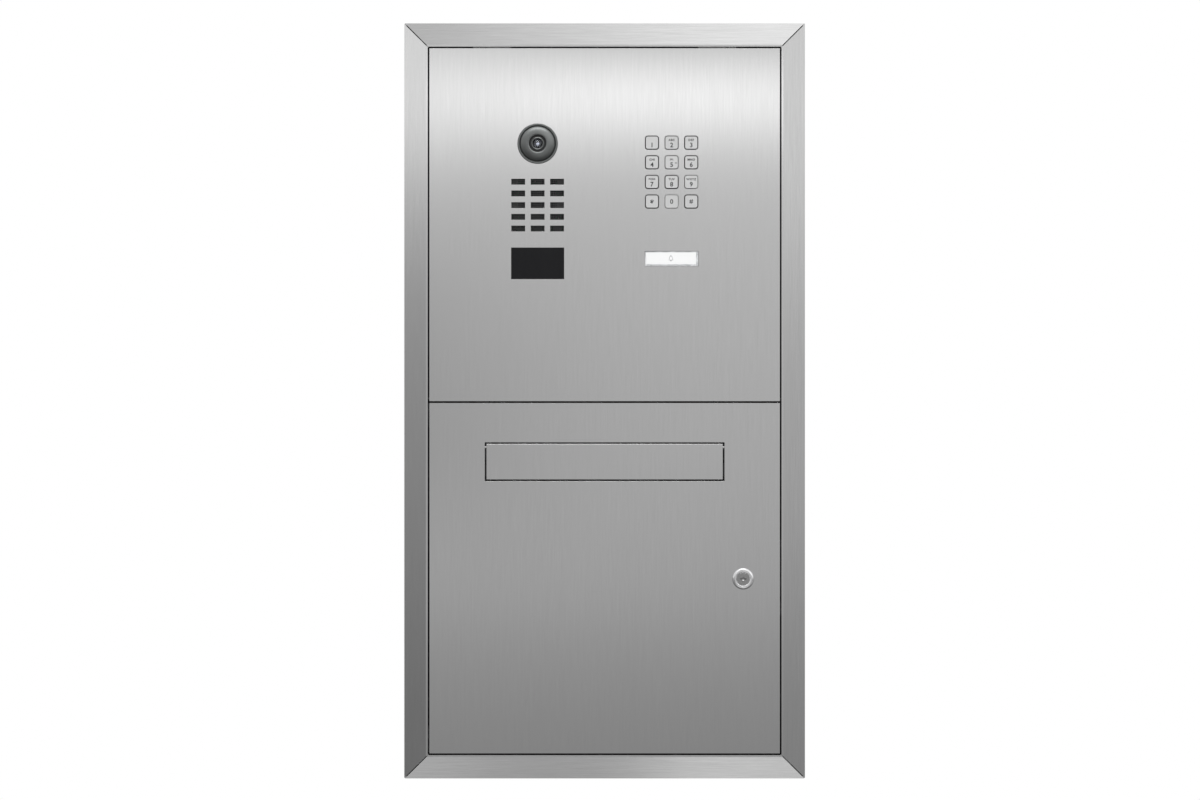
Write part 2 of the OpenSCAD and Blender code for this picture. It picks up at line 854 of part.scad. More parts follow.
// The hood behind the slot: two cheeks that hold the flap's rod, a roof and a short rear baffle
module letter_guide() {
    t = 1.5;
    floor_z = letter_z - letter_h / 2 - 6;
    color("gray")
    difference() {
        union() {
            for (s = [-1, 1])
                translate([s * (cheek_x + t / 2), (panel_back + hood_y) / 2, (roof_z + floor_z) / 2])
                    cube([t, hood_y - panel_back, roof_z - floor_z], center = true);
            block(-cheek_x - t, cheek_x + t, panel_back, hood_y, roof_z, roof_z + t);
            block(-cheek_x - t, cheek_x + t, hood_y - t, hood_y, roof_z - 22, roof_z + t);
            block(-cheek_x - t, cheek_x + t, panel_back, panel_back + t, roof_z, roof_z + 10);
            for (s = [-1, 1])
                translate([s * (cheek_x + 5), panel_back + t / 2, (roof_z + floor_z) / 2])
                    cube([10, t, roof_z - floor_z], center = true);
        }
        translate([-cheek_x - 5, flap_axis_y, flap_axis_z]) rotate([0, 90, 0])
            cylinder(r = rod_r, h = 2 * cheek_x + 10);
        for (s = [-1, 1], z = [floor_z + 8, roof_z - 8])
            bar_y(s * (cheek_x + 6), z, panel_back - cut, panel_back + t + cut, 1.6);
    }
}

module flap_rod() {
    ends = cheek_x + 3;
    color("gainsboro")
    translate([-ends, flap_axis_y, flap_axis_z]) rotate([0, 90, 0])
        cylinder(r = rod_r, h = 2 * ends);
}

module flap_springs() {
    color("gainsboro")
    for (s = [0, 1])
        mirror([s, 0, 0])
            difference() {
                union() {
                    translate([knuckle_x + 0.4, flap_axis_y, flap_axis_z]) rotate([0, 90, 0])
                        cylinder(r = 2.2, h = spring_x - knuckle_x - 0.8);
                    translate([spring_x - 1.1, flap_axis_y + 1.9, flap_axis_z])
                        cylinder(r = 0.28, h = roof_z - flap_axis_z - 0.05);
                }
                translate([0, flap_axis_y, flap_axis_z]) rotate([0, 90, 0])
                    cylinder(r = rod_r + 0.1, h = 2 * spring_x);
            }
}

// The top edge is rolled back round the rod
module letter_flap() {
    t = flap_sheet;
    color("silver")
    difference() {
        union() {
            block(-flap_x, flap_x, front, front + t, flap_bottom, flap_top);
            translate([-knuckle_x, flap_axis_y, flap_axis_z]) rotate([0, 90, 0])
                cylinder(r = flap_roll, h = 2 * knuckle_x);
        }
        translate([-flap_x - cut, flap_axis_y, flap_axis_z]) rotate([0, 90, 0])
            cylinder(r = rod_r + running, h = 2 * flap_x + 2 * cut);
    }
}

// A rubber ear on the back of each end, which stops the flap behind the door
module flap_stops() {
    ear_y = panel_back + 0.15;
    root = flap_x - 10;
    color("black")
    for (s = [0, 1])
        mirror([s, 0, 0]) {
            block(root, flap_x - 0.3, front + flap_sheet, ear_y + 1.6,
                  flap_bottom + 4, flap_bottom + 18);
            block(root, cheek_x - 2, ear_y, ear_y + 1.6, flap_bottom + 4, flap_bottom + 18);
        }
}

// ---- Cam lock ----

module lock_barrel() {
    color("silver")
    difference() {
        union() {
            turned(lock_x, lock_z)
                polygon(concat([[0, 0], [lock_d / 2, 0]],
                    [for (a = [0:15:90])
                        [lock_d / 2 - 2.2 + 2.2 * cos(a), 0.3 + 2.2 * sin(a)]],
                    [[plug_r + 0.9, 2.5], [plug_r + 0.5, 2.1], [plug_r + 0.5, 0.4], [0, 0.4]]));
            bar_y(lock_x, lock_z, front, barrel_end, 9.5);
        }
        bar_y(lock_x, lock_z, front - 4, barrel_end + cut, plug_r + running);
    }
}

module lock_nut() {
    color("gray")
    translate([lock_x, 0, lock_z])
        difference() {
            bar_y_hex(panel_back, 5, 14);
            bar_y(0, 0, panel_back - cut, panel_back + 6, 9.5);
        }
}

module lock_plug() {
    color("gainsboro")
    translate([lock_x, 0, lock_z])
        difference() {
            union() {
                bar_y(0, 0, front - 1.7, barrel_end, plug_r);
                slab(barrel_end, 2.8) square([7, 7], center = true);
            }
            slab(front - 3, 8) square([6.6, 1.2], center = true);
            slab(front - 3, 8) translate([0, 0.5]) square([2.4, 2.2], center = true);
            bar_y(0, 0, barrel_end - 6, barrel_end + 4, 1.5);
        }
}

module lock_cam() {
    color("gainsboro")
    translate([lock_x, 0, lock_z])
        difference() {
            slab(cam_y, 2) union() {
                circle(9);
                translate([-7, 0]) square([14, cam_len - 4]);
                translate([0, cam_len - 4]) square([8, 8], center = true);
                for (s = [-1, 1])
                    translate([s * 3, cam_len - 4]) circle(4);
            }
            slab(cam_y - cut, 2 + 2 * cut) square([7.1, 7.1], center = true);
        }
}

module cam_screw() {
    y0 = barrel_end + 2.8;
    color("gray")
    translate([lock_x, 0, lock_z])
        difference() {
            union() {
                bar_y(0, 0, y0, y0 + 2.6, 5);
                bar_y(0, 0, y0 - 8, y0 + 0.2, 1.5);
            }
            slab(y0 + 1.4, 3) square([6, 1], center = true);
            slab(y0 + 1.4, 3) square([1, 6], center = true);
        }
}

wall_box();
divider_shelf();
trim_top();
trim_bottom();
trim_left();
trim_right();
corner_brackets();
trim_screws();
cable_grommet();
front_plate();
plate_screws();
camera_bezel();
camera_cone();
lens_barrel();
lens_glass();
camera_module();
speaker_mesh();
mesh_screws();
speaker_driver();
microphone();
sensor_window();
sensor_board();
key_guide();
key_1();
key_2();
key_3();
key_4();
key_5();
key_6();
key_7();
key_8();
key_9();
key_star();
key_0();
key_hash();
key_mat();
keypad_board();
call_button();
name_plate();
button_guide();
button_board();
button_springs();
main_board();
electronics_cover();
terminal_block();
cover_screws();
hinge_arms();
strike_plate();
door_panel();
hinge_bushes();
letter_guide();
flap_rod();
flap_springs();
lock_barrel();
lock_nut();
letter_flap();
flap_stops();
lock_plug();
lock_cam();
cam_screw();
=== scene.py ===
"""Looks of the flush-mounted video door station with a letterbox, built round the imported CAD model."""
import math
import random

import bmesh
import bpy
from mathutils import Matrix, Vector


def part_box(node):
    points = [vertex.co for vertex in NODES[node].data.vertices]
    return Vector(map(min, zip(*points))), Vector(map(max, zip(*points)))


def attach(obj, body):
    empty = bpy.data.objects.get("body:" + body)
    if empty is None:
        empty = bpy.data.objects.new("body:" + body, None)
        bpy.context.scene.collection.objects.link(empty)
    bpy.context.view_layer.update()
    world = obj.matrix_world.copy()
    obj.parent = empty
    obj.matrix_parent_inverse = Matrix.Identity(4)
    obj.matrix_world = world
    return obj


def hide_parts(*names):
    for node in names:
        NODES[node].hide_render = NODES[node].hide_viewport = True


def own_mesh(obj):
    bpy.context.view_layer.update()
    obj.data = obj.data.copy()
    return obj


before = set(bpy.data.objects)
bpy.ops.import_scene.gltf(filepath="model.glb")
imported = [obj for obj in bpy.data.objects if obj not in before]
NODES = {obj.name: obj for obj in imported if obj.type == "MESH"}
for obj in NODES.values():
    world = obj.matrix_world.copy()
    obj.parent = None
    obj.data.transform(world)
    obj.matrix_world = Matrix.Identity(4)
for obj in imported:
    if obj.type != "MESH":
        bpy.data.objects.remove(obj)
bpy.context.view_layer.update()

MM = 0.001
MARK_RISE = 0.04 * MM  # lettering above its surface
LABEL_RISE = 0.03 * MM  # print on the name plate
BOARD_SHEET = 1.6 * MM  # main board, whose parts stand on its front
SCENE = bpy.context.scene
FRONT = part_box("front_plate")[0].y
RNG = random.Random(7)


def middle(node):
    """Centre of a CAD node's box."""
    low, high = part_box(node)
    return (low + high) / 2


# ---------------------------------------------------------------- shader graphs


class Graph:
    """A node graph with short calls for the nodes that the materials share."""

    def __init__(self, name, tree=None):
        if tree is None:
            self.material = bpy.data.materials.new(name)
            self.material.use_nodes = True
            tree = self.material.node_tree
            tree.nodes.clear()
            self.shader = tree.nodes.new("ShaderNodeBsdfPrincipled")
            out = tree.nodes.new("ShaderNodeOutputMaterial")
            tree.links.new(self.shader.outputs[0], out.inputs["Surface"])
        self.tree = tree
        self.bumps = None

    def add(self, kind, **settings):
        node = self.tree.nodes.new(kind)
        for key, value in settings.items():
            setattr(node, key, value)
        return node

    def feed(self, socket, value):
        if isinstance(value, bpy.types.NodeSocket):
            self.tree.links.new(value, socket)
        else:
            socket.default_value = value

    def math(self, operation, a, b=0.0, c=0.0, clamp=False):
        node = self.add("ShaderNodeMath", operation=operation, use_clamp=clamp)
        for socket, value in zip(node.inputs, (a, b, c)):
            self.feed(socket, value)
        return node.outputs[0]

    def coords(self, scale, turn=(0, 0, 0), offset=(0, 0, 0)):
        """Object coordinates in metres, scaled per axis."""
        source = self.add("ShaderNodeTexCoord").outputs["Object"]
        node = self.add("ShaderNodeMapping")
        self.feed(node.inputs["Vector"], source)
        node.inputs["Scale"].default_value = scale
        node.inputs["Rotation"].default_value = turn
        node.inputs["Location"].default_value = offset
        return node.outputs[0]

    def noise(self, vector, scale=1.0, detail=2.0, rough=0.5, warp=0.0):
        node = self.add("ShaderNodeTexNoise")
        self.feed(node.inputs["Vector"], vector)
        node.inputs["Scale"].default_value = scale
        node.inputs["Detail"].default_value = detail
        node.inputs["Roughness"].default_value = rough
        node.inputs["Distortion"].default_value = warp
        return node.outputs[0]

    def cells(self, vector, scale=1.0, feature="F1", output="Distance", spread=1.0):
        node = self.add("ShaderNodeTexVoronoi", feature=feature)
        self.feed(node.inputs["Vector"], vector)
        node.inputs["Scale"].default_value = scale
        if "Randomness" in node.inputs:
            node.inputs["Randomness"].default_value = spread
        return node.outputs[output]

    def span(self, value, low, high, out_low, out_high, smooth=False):
        node = self.add("ShaderNodeMapRange", clamp=True)
        if smooth:
            node.interpolation_type = "SMOOTHSTEP"
        for key, number in (("From Min", low), ("From Max", high),
                            ("To Min", out_low), ("To Max", out_high)):
            node.inputs[key].default_value = number
        self.feed(node.inputs["Value"], value)
        return node.outputs["Result"]

    def blend(self, factor, a, b):
        """Mix of two colours."""
        node = self.add("ShaderNodeMix", data_type="RGBA")
        sockets = [s for s in node.inputs if s.type == "RGBA"]
        self.feed(node.inputs["Factor"], factor)
        self.feed(sockets[0], a if isinstance(a, bpy.types.NodeSocket) else (*a, 1))
        self.feed(sockets[1], b if isinstance(b, bpy.types.NodeSocket) else (*b, 1))
        return [s for s in node.outputs if s.type == "RGBA"][0]

    def bump(self, height, distance, strength=1.0):
        """Adds a height map in metres on top of the bumps before it."""
        node = self.add("ShaderNodeBump")
        node.inputs["Strength"].default_value = strength
        node.inputs["Distance"].default_value = distance
        self.feed(node.inputs["Height"], height)
        if self.bumps is not None:
            self.feed(node.inputs["Normal"], self.bumps)
        self.bumps = node.outputs[0]
        self.feed(self.shader.inputs["Normal"], self.bumps)

    def set(self, **sockets):
        for key, value in sockets.items():
            name = key.replace("_", " ")
            socket = self.shader.inputs[name]
            if isinstance(value, tuple) and len(value) == 3:
                value = (*value, 1)
            self.feed(socket, value)
        return self.material


# ---------------------------------------------------------------- materials


def brushed_steel(name, grain, tone, rough, swing=0.05, aniso=0.85, warm=0.0):
    """Stainless steel brushed along the grain axis, with long streaks of uneven tone."""
    g = Graph(name)
    wide, length = 1 / (1.3 * MM), 1 / (48 * MM)
    scale = (wide, wide, length) if grain == "Z" else (length, wide, wide)
    streak = g.noise(g.coords(scale), 1, 3, 0.62)
    hair = g.noise(g.coords(tuple(3.4 * s for s in scale), offset=(3, 5, 7)), 1, 2, 0.5)
    cloud_scale = (14, 14, 3.2) if grain == "Z" else (3.2, 14, 14)
    cloud = g.noise(g.coords(cloud_scale, offset=(1, 2, 3)), 1, 2, 0.5)
    mix = g.math("MULTIPLY_ADD", hair, 0.35, g.math("MULTIPLY", streak, 0.5))
    mix = g.math("MULTIPLY_ADD", cloud, 0.15, mix)
    shade = g.span(mix, 0.34, 0.66, 0, 1)
    dark = tuple(tone - swing + d for d in (warm, 0, -warm))
    light = tuple(tone + swing + d for d in (warm, 0, -warm))
    g.set(Base_Color=g.blend(shade, dark, light), Metallic=1.0, Anisotropic=aniso,
          Roughness=g.span(mix, 0.3, 0.7, rough + 0.007, rough - 0.007))
    tangent = g.add("ShaderNodeTangent", direction_type="RADIAL", axis="Z" if grain == "Z" else "X")
    g.feed(g.shader.inputs["Tangent"], tangent.outputs[0])
    g.bump(mix, 0.001 * MM, 0.5)
    return g.material


def satin_metal(name, tone, rough, swing=0.05, grain=0.5, tint=(1, 1, 1), bump=0.01):
    """Turned, cast or blasted metal with a fine even grain and a few handling marks."""
    g = Graph(name)
    fine = g.noise(g.coords((1, 1, 1)), 1 / (grain * MM), 3, 0.6)
    patch = g.noise(g.coords((1, 1, 1), offset=(2, 4, 6)), 1 / (22 * MM), 3, 0.6)
    mix = g.math("MULTIPLY_ADD", patch, 0.5, g.math("MULTIPLY", fine, 0.5))
    shade = g.span(mix, 0.35, 0.65, 0, 1)
    dark = tuple((tone - swing) * c for c in tint)
    light = tuple(min(1, (tone + swing) * c) for c in tint)
    g.set(Base_Color=g.blend(shade, dark, light), Metallic=1.0,
          Roughness=g.span(mix, 0.3, 0.7, rough + 0.05, rough - 0.04))
    g.bump(fine, bump * MM, 0.5)
    return g.material


def key_cap_painted_flank_shade(name):
    """Satin steel key: a bright face, with painted shade on its flanks and rounded edges."""
    g = Graph(name)
    fine = g.noise(g.coords((1, 1, 1)), 1 / (0.35 * MM), 3, 0.6)
    patch = g.noise(g.coords((1, 1, 1), offset=(2, 4, 6)), 1 / (22 * MM), 3, 0.6)
    mix = g.math("MULTIPLY_ADD", patch, 0.5, g.math("MULTIPLY", fine, 0.5))
    facing = g.add("ShaderNodeSeparateXYZ")
    g.feed(facing.inputs[0], g.add("ShaderNodeNewGeometry").outputs["True Normal"])
    # painted shade: every face not turned straight ahead gets a near-black colour, standing in for the
    # shadow in the gaps round the keys
    face = g.span(facing.outputs["Y"], -0.995, -0.975, 1, 0)
    steel = g.blend(g.span(mix, 0.35, 0.65, 0, 1), (0.76, 0.76, 0.76), (0.84, 0.84, 0.84))
    g.set(Base_Color=g.blend(face, (0.04, 0.04, 0.04), steel), Metallic=1.0,
          Roughness=g.span(mix, 0.3, 0.7, 0.37, 0.28))
    g.bump(fine, 0.01 * MM, 0.5)
    return g.material


def galvanised(name):
    """Hot-dip zinc: flat crystals of uneven tone, with a faint rolled grain."""
    g = Graph(name)
    warped = g.coords((1, 1, 1))
    tone = g.cells(warped, 1 / (9 * MM), output="Color")
    grey = g.add("ShaderNodeRGBToBW")
    g.feed(grey.inputs[0], tone)
    fine = g.noise(warped, 1 / (2.5 * MM), 4, 0.65, 0.4)
    edge = g.cells(warped, 1 / (9 * MM), feature="DISTANCE_TO_EDGE")
    mix = g.math("MULTIPLY_ADD", fine, 0.4, g.math("MULTIPLY", grey.outputs[0], 0.6))
    colour = g.blend(g.span(mix, 0.25, 0.75, 0, 1), (0.42, 0.432, 0.445), (0.56, 0.57, 0.58))
    g.set(Base_Color=colour, Metallic=1.0, Roughness=g.span(mix, 0.2, 0.8, 0.56, 0.36))
    g.bump(g.span(edge, 0, 0.06, 0, 1), 0.02 * MM, 0.6)
    g.bump(fine, 0.03 * MM, 0.4)
    return g.material


def plastic(name, colour, rough, grain=0.6, depth=0.02, specular=0.5, vary=0.15):
    """Moulded plastic or rubber with a spark-eroded grain and slight unevenness."""
    g = Graph(name)
    leather = g.cells(g.coords((1, 1, 1)), 1 / (grain * MM), feature="SMOOTH_F1")
    patch = g.noise(g.coords((1, 1, 1)), 1 / (15 * MM), 4, 0.6)
    dark = tuple(c * (1 - vary) for c in colour)
    light = tuple(min(1, c * (1 + vary)) for c in colour)
    g.set(Base_Color=g.blend(g.span(patch, 0.35, 0.65, 0, 1), dark, light),
          Roughness=g.span(patch, 0.3, 0.7, rough - 0.05, rough + 0.06),
          Specular_IOR_Level=specular)
    g.bump(leather, depth * MM, 0.6)
    return g.material


def circuit_board(name):
    """Green solder mask over copper tracks, with tinned vias."""
    g = Graph(name)
    flat = g.coords((1, 1, 1))
    maze = g.add("ShaderNodeTexBrick", offset=0.5, squash=1.0)
    g.feed(maze.inputs["Vector"], g.coords((1, 1, 1), turn=(math.pi / 2, 0, 0)))
    maze.inputs["Scale"].default_value = 1 / (9 * MM)
    maze.inputs["Mortar Size"].default_value = 0.05
    maze.inputs["Color1"].default_value = (0, 0, 0, 1)
    maze.inputs["Color2"].default_value = (0, 0, 0, 1)
    maze.inputs["Mortar"].default_value = (1, 1, 1, 1)
    bend = g.noise(flat, 1 / (14 * MM), 1, 0.4)
    bands = g.math("PINGPONG", g.math("MULTIPLY", bend, 26), 1)
    track = g.math("MAXIMUM", g.span(bands, 0.62, 0.7, 0, 1), maze.outputs["Color"])
    via = g.span(g.cells(flat, 1 / (5.5 * MM)), 0.11, 0.14, 1, 0)
    ring = g.span(g.cells(flat, 1 / (5.5 * MM)), 0.05, 0.07, 0, 1)
    pad = g.math("MULTIPLY", via, ring)
    mask = g.blend(track, (0.006, 0.055, 0.022), (0.02, 0.16, 0.06))
    g.set(Base_Color=g.blend(pad, mask, (0.62, 0.6, 0.52)), Metallic=pad,
          Roughness=g.span(bend, 0.3, 0.7, 0.26, 0.36))
    g.bump(g.math("MAXIMUM", track, pad), 0.03 * MM, 0.8)
    return g.material


def window_black(name):
    """Dark infrared-pass acrylic, flush and glossy, with fine wiping marks."""
    g = Graph(name)
    wipe = g.noise(g.coords((60, 60, 14), turn=(0, 0.5, 0)), 1, 4, 0.6)
    g.set(Base_Color=g.blend(wipe, (0.006, 0.006, 0.007), (0.011, 0.011, 0.012)),
          Roughness=g.span(wipe, 0.3, 0.7, 0.05, 0.1), Specular_IOR_Level=0.13)
    g.bump(wipe, 0.01 * MM, 0.3)
    return g.material


def lens_glass(name):
    """Clear coated glass."""
    g = Graph(name)
    film = g.noise(g.coords((1, 1, 1)), 1 / (2 * MM), 2, 0.5)
    g.set(Base_Color=g.blend(film, (0.86, 0.9, 1.0), (0.95, 0.96, 1.0)), Transmission_Weight=1.0,
          IOR=1.52, Roughness=g.span(film, 0.3, 0.7, 0.0, 0.02))
    return g.material


def button_clear(name):
    """Frosted clear plastic that glows at its edges, with fine inner speckle."""
    g = Graph(name)
    speck = g.noise(g.coords((1, 1, 1)), 1 / (0.9 * MM), 3, 0.7)
    haze = g.noise(g.coords((1, 1, 1)), 1 / (6 * MM), 2, 0.5)
    tone = g.math("MULTIPLY_ADD", speck, 0.7, g.math("MULTIPLY", haze, 0.3))
    colour = g.blend(g.span(tone, 0.4, 0.6, 0, 1), (0.3, 0.31, 0.32), (0.72, 0.73, 0.74))
    g.set(Base_Color=colour, Roughness=g.span(speck, 0.3, 0.7, 0.16, 0.34),
          Transmission_Weight=0.15, IOR=1.49, Coat_Weight=0.3, Coat_Roughness=0.1,
          Emission_Color=colour, Emission_Strength=0.15)
    g.bump(speck, 0.03 * MM, 0.5)
    return g.material


def lit_label(name):
    """White diffuser lit from behind: a little brighter in the middle, with paper fibre."""
    g = Graph(name)
    fibre = g.noise(g.coords((1, 1, 2.5)), 1 / (1.2 * MM), 4, 0.6)
    x, _, z = middle("name_plate")
    low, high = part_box("name_plate")
    spread = g.add("ShaderNodeTexGradient", gradient_type="QUADRATIC_SPHERE")
    across, tall = 1.1 / (high.x - low.x), 0.5 / (high.z - low.z)
    g.feed(spread.inputs[0], g.coords((across, 1, tall), offset=(-x * across, -FRONT, -z * tall)))
    glow = g.blend(spread.outputs[0], (0.86, 0.88, 0.9), (1, 1, 1))
    g.set(Base_Color=g.blend(fibre, (0.74, 0.75, 0.75), (0.82, 0.82, 0.82)),
          Roughness=g.span(fibre, 0.3, 0.7, 0.5, 0.6), Emission_Color=glow,
          Emission_Strength=0.04)
    g.bump(fibre, 0.01 * MM, 0.4)
    return g.material


def bronze(name):
    """Sintered bronze with open pores and an oily patchiness."""
    g = Graph(name)
    pores = g.cells(g.coords((1, 1, 1)), 1 / (0.35 * MM))
    patch = g.noise(g.coords((1, 1, 1)), 1 / (3 * MM), 3, 0.6)
    colour = g.blend(g.span(patch, 0.35, 0.65, 0, 1), (0.34, 0.19, 0.07), (0.62, 0.4, 0.18))
    g.set(Base_Color=colour, Metallic=1.0, Roughness=g.span(pores, 0.1, 0.5, 0.55, 0.35))
    g.bump(pores, 0.03 * MM, 0.6)
    return g.material


def ink(name, colour=(0.008, 0.008, 0.009)):
    """Laser-marked or printed lettering, slightly uneven."""
    g = Graph(name)
    edge = g.noise(g.coords((1, 1, 1)), 1 / (0.4 * MM), 3, 0.6)
    light = tuple(c * 1.9 + 0.01 for c in colour)
    g.set(Base_Color=g.blend(edge, colour, light), Roughness=g.span(edge, 0.3, 0.7, 0.5, 0.7))
    return g.material


PANEL = brushed_steel("m_panel_steel", "Z", 0.6, 0.125, 0.016, 0.9)
TRIM_UP = brushed_steel("m_trim_steel_upright", "Z", 0.6, 0.13, 0.03, 0.9)
TRIM_LEVEL = brushed_steel("m_trim_steel_level", "X", 0.6, 0.13, 0.04, 0.9)
BOX = galvanised("m_box_steel")
FASTENER = satin_metal("m_fastener_steel", 0.62, 0.28, 0.06, 0.7)
KEY = key_cap_painted_flank_shade("m_key_steel")
CAMERA_GREY = satin_metal("m_camera_grey", 0.2, 0.38, 0.02, 0.25, (0.96, 1, 0.99))
BLACK_STEEL = satin_metal("m_black_steel", 0.06, 0.42, 0.02, 0.5)
PLUG = satin_metal("m_lock_plug", 0.36, 0.3, 0.03, 0.4)
LENS_BLACK = plastic("m_lens_black", (0.012, 0.012, 0.013), 0.28, 0.4, 0.006, 0.5)
GLASS = lens_glass("m_lens_glass")
MESH_BLACK = plastic("m_black_mesh", (0.045, 0.045, 0.046), 0.45, 0.9, 0.01, 0.4)
WINDOW = window_black("m_window_black")
BLACK_PLASTIC = plastic("m_black_plastic", (0.025, 0.026, 0.028), 0.48, 0.7, 0.02, 0.4)
BOARD = circuit_board("m_circuit_board")
TERMINAL = plastic("m_terminal_green", (0.02, 0.2, 0.06), 0.38, 0.5, 0.01)
SILICONE = plastic("m_silicone_grey", (0.04, 0.04, 0.042), 0.65, 0.8, 0.01, 0.3)
RUBBER = plastic("m_rubber_black", (0.018, 0.018, 0.018), 0.72, 0.5, 0.03, 0.3)
BRONZE = bronze("m_bush_bronze")
CLEAR = button_clear("m_button_clear")
LABEL = lit_label("m_name_plate_white")
CHROME = satin_metal("m_lock_chrome", 0.82, 0.1, 0.03, 0.5, (1, 1, 1.01), 0.002)
ZINC = satin_metal("m_cam_zinc", 0.55, 0.4, 0.06, 1.2, (1, 1, 1.03), 0.02)
INK = ink("m_key_ink")

SLOT_LOOKS = {
    "panel_steel": PANEL, "trim_steel": TRIM_UP, "box_steel": BOX, "fastener_steel": FASTENER,
    "black_steel": BLACK_STEEL, "key_steel": KEY, "camera_grey": CAMERA_GREY,
    "lens_black": LENS_BLACK, "lens_glass": GLASS, "black_mesh": MESH_BLACK,
    "window_black": WINDOW, "black_plastic": BLACK_PLASTIC,
    "circuit_board": BOARD, "terminal_green": TERMINAL, "silicone_grey": SILICONE,
    "rubber_black": RUBBER, "bush_bronze": BRONZE, "button_clear": CLEAR,
    "name_plate_white": LABEL, "lock_chrome": CHROME, "cam_zinc": ZINC,
}
NODE_LOOKS = {"trim_top": TRIM_LEVEL, "trim_bottom": TRIM_LEVEL, "lock_plug": PLUG}

for node_name, node_object in NODES.items():
    for place in node_object.material_slots:
        slot_name = place.material.name.split(".")[0]
        place.material = NODE_LOOKS.get(node_name, SLOT_LOOKS[slot_name])


# ---------------------------------------------------------------- softened edges


def soften(names, width, segments=2, angle=35):
    """Rounds the sharp edges of CAD nodes with modifiers only."""
    for name in names:
        node = NODES[name]
        weld = node.modifiers.new("weld", "WELD")
        weld.merge_threshold = 0.004 * MM
        flat = node.modifiers.new("flat", "DECIMATE")
        flat.decimate_type = "DISSOLVE"
        flat.angle_limit = math.radians(0.6)
        bevel = node.modifiers.new("edges", "BEVEL")
        bevel.width = width * MM
        bevel.segments = segments
        bevel.limit_method = "ANGLE"
        bevel.angle_limit = math.radians(angle)
        bevel.use_clamp_overlap = True
        bevel.harden_normals = False
        normals = node.modifiers.new("normals", "WEIGHTED_NORMAL")
        normals.keep_sharp = False


KEY_NAMES = [f"key_{n}" for n in (*range(10), "star", "hash")]
soften(["front_plate", "door_panel"], 0.3)
soften(["letter_flap"], 0.65, 3)
soften(KEY_NAMES, 0.5, 3)
soften(["wall_box", "divider_shelf", "electronics_cover", "letter_guide"], 0.4)
soften(["call_button", "terminal_block", "lock_cam", "strike_plate", "hinge_arms"], 0.3)
soften(["name_plate", "sensor_window"], 0.1)


# ---------------------------------------------------------------- piece builders


def piece(name, mesh, body, material, smooth=35):
    """Makes an object of a bmesh or mesh, in place, riding on a body."""
    if isinstance(mesh, bmesh.types.BMesh):
        source, mesh = mesh, bpy.data.meshes.new(name)
        bmesh.ops.recalc_face_normals(source, faces=source.faces)
        source.to_mesh(mesh)
        source.free()
    mesh.materials.clear()
    mesh.materials.append(material)
    mesh.polygons.foreach_set("use_smooth", [True] * len(mesh.polygons))
    mesh.set_sharp_from_angle(angle=math.radians(smooth))
    obj = bpy.data.objects.new(name, mesh)
    SCENE.collection.objects.link(obj)
    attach(obj, body)
    return obj


def add_box(bm, low, high, edge=0.0):
    """A box between two corners, with rounded edges, added to a bmesh."""
    size = Vector(high) - Vector(low)
    place = Matrix.Translation((Vector(low) + Vector(high)) / 2) @ Matrix.Diagonal((*size, 1))
    made = bmesh.ops.create_cube(bm, size=1, matrix=place)["verts"]
    if edge:
        edges = {e for v in made for e in v.link_edges}
        bmesh.ops.bevel(bm, geom=list(edges), offset=edge, segments=2, affect="EDGES", profile=0.5)


def add_turned(bm, x, z, profile, steps=64):
    """A closed ring turned about +Y; profile points are (radius, y) in metres, radii above 0."""
    rings = []
    for step in range(steps):
        a = 2 * math.pi * step / steps
        rings.append([bm.verts.new((x + r * math.cos(a), y, z + r * math.sin(a)))
                      for r, y in profile])
    for step in range(steps):
        here, after = rings[step], rings[(step + 1) % steps]
        for k in range(len(profile)):
            j = (k + 1) % len(profile)
            bm.faces.new((here[k], here[j], after[j], after[k]))


def add_dome(bm, x, y, z, radius, rise, steps=20, levels=4, back=0.0):
    """A low dome facing -Y with a flat back."""
    tip = bm.verts.new((x, y - rise, z))
    rings = []
    for level in range(1, levels + 1):
        t = math.pi / 2 * level / levels
        r, h = radius * math.sin(t), rise * math.cos(t)
        rings.append([bm.verts.new((x + r * math.cos(2 * math.pi * s / steps), y - h,
                                    z + r * math.sin(2 * math.pi * s / steps)))
                      for s in range(steps)])
    if back:
        rings.append([bm.verts.new((v.co.x, y + back, v.co.z)) for v in rings[-1]])
    for s in range(steps):
        bm.faces.new((tip, rings[0][s], rings[0][(s + 1) % steps]))
        for inner, outer in zip(rings, rings[1:]):
            bm.faces.new((inner[s], outer[s], outer[(s + 1) % steps], inner[(s + 1) % steps]))
    bm.faces.new(rings[-1])


def curve_mesh(curve):
    """The mesh of a curve or text, which is then deleted."""
    obj = bpy.data.objects.new(curve.name, curve)
    SCENE.collection.objects.link(obj)
    bpy.context.view_layer.update()
    mesh = bpy.data.meshes.new_from_object(obj.evaluated_get(bpy.context.evaluated_depsgraph_get()))
    bpy.data.objects.remove(obj)
    bpy.data.curves.remove(curve)
    return mesh


def wire_mesh(points, radius, sides=8):
    """A round wire along points, capped at both ends."""
    curve = bpy.data.curves.new("wire", "CURVE")
    curve.dimensions = "3D"
    curve.bevel_depth = radius
    curve.bevel_resolution = max(1, sides // 4)
    curve.use_fill_caps = True
    spline = curve.splines.new("POLY")
    spline.points.add(len(points) - 1)
    for target, point in zip(spline.points, points):
        target.co = (*point, 1)
    return curve_mesh(curve)


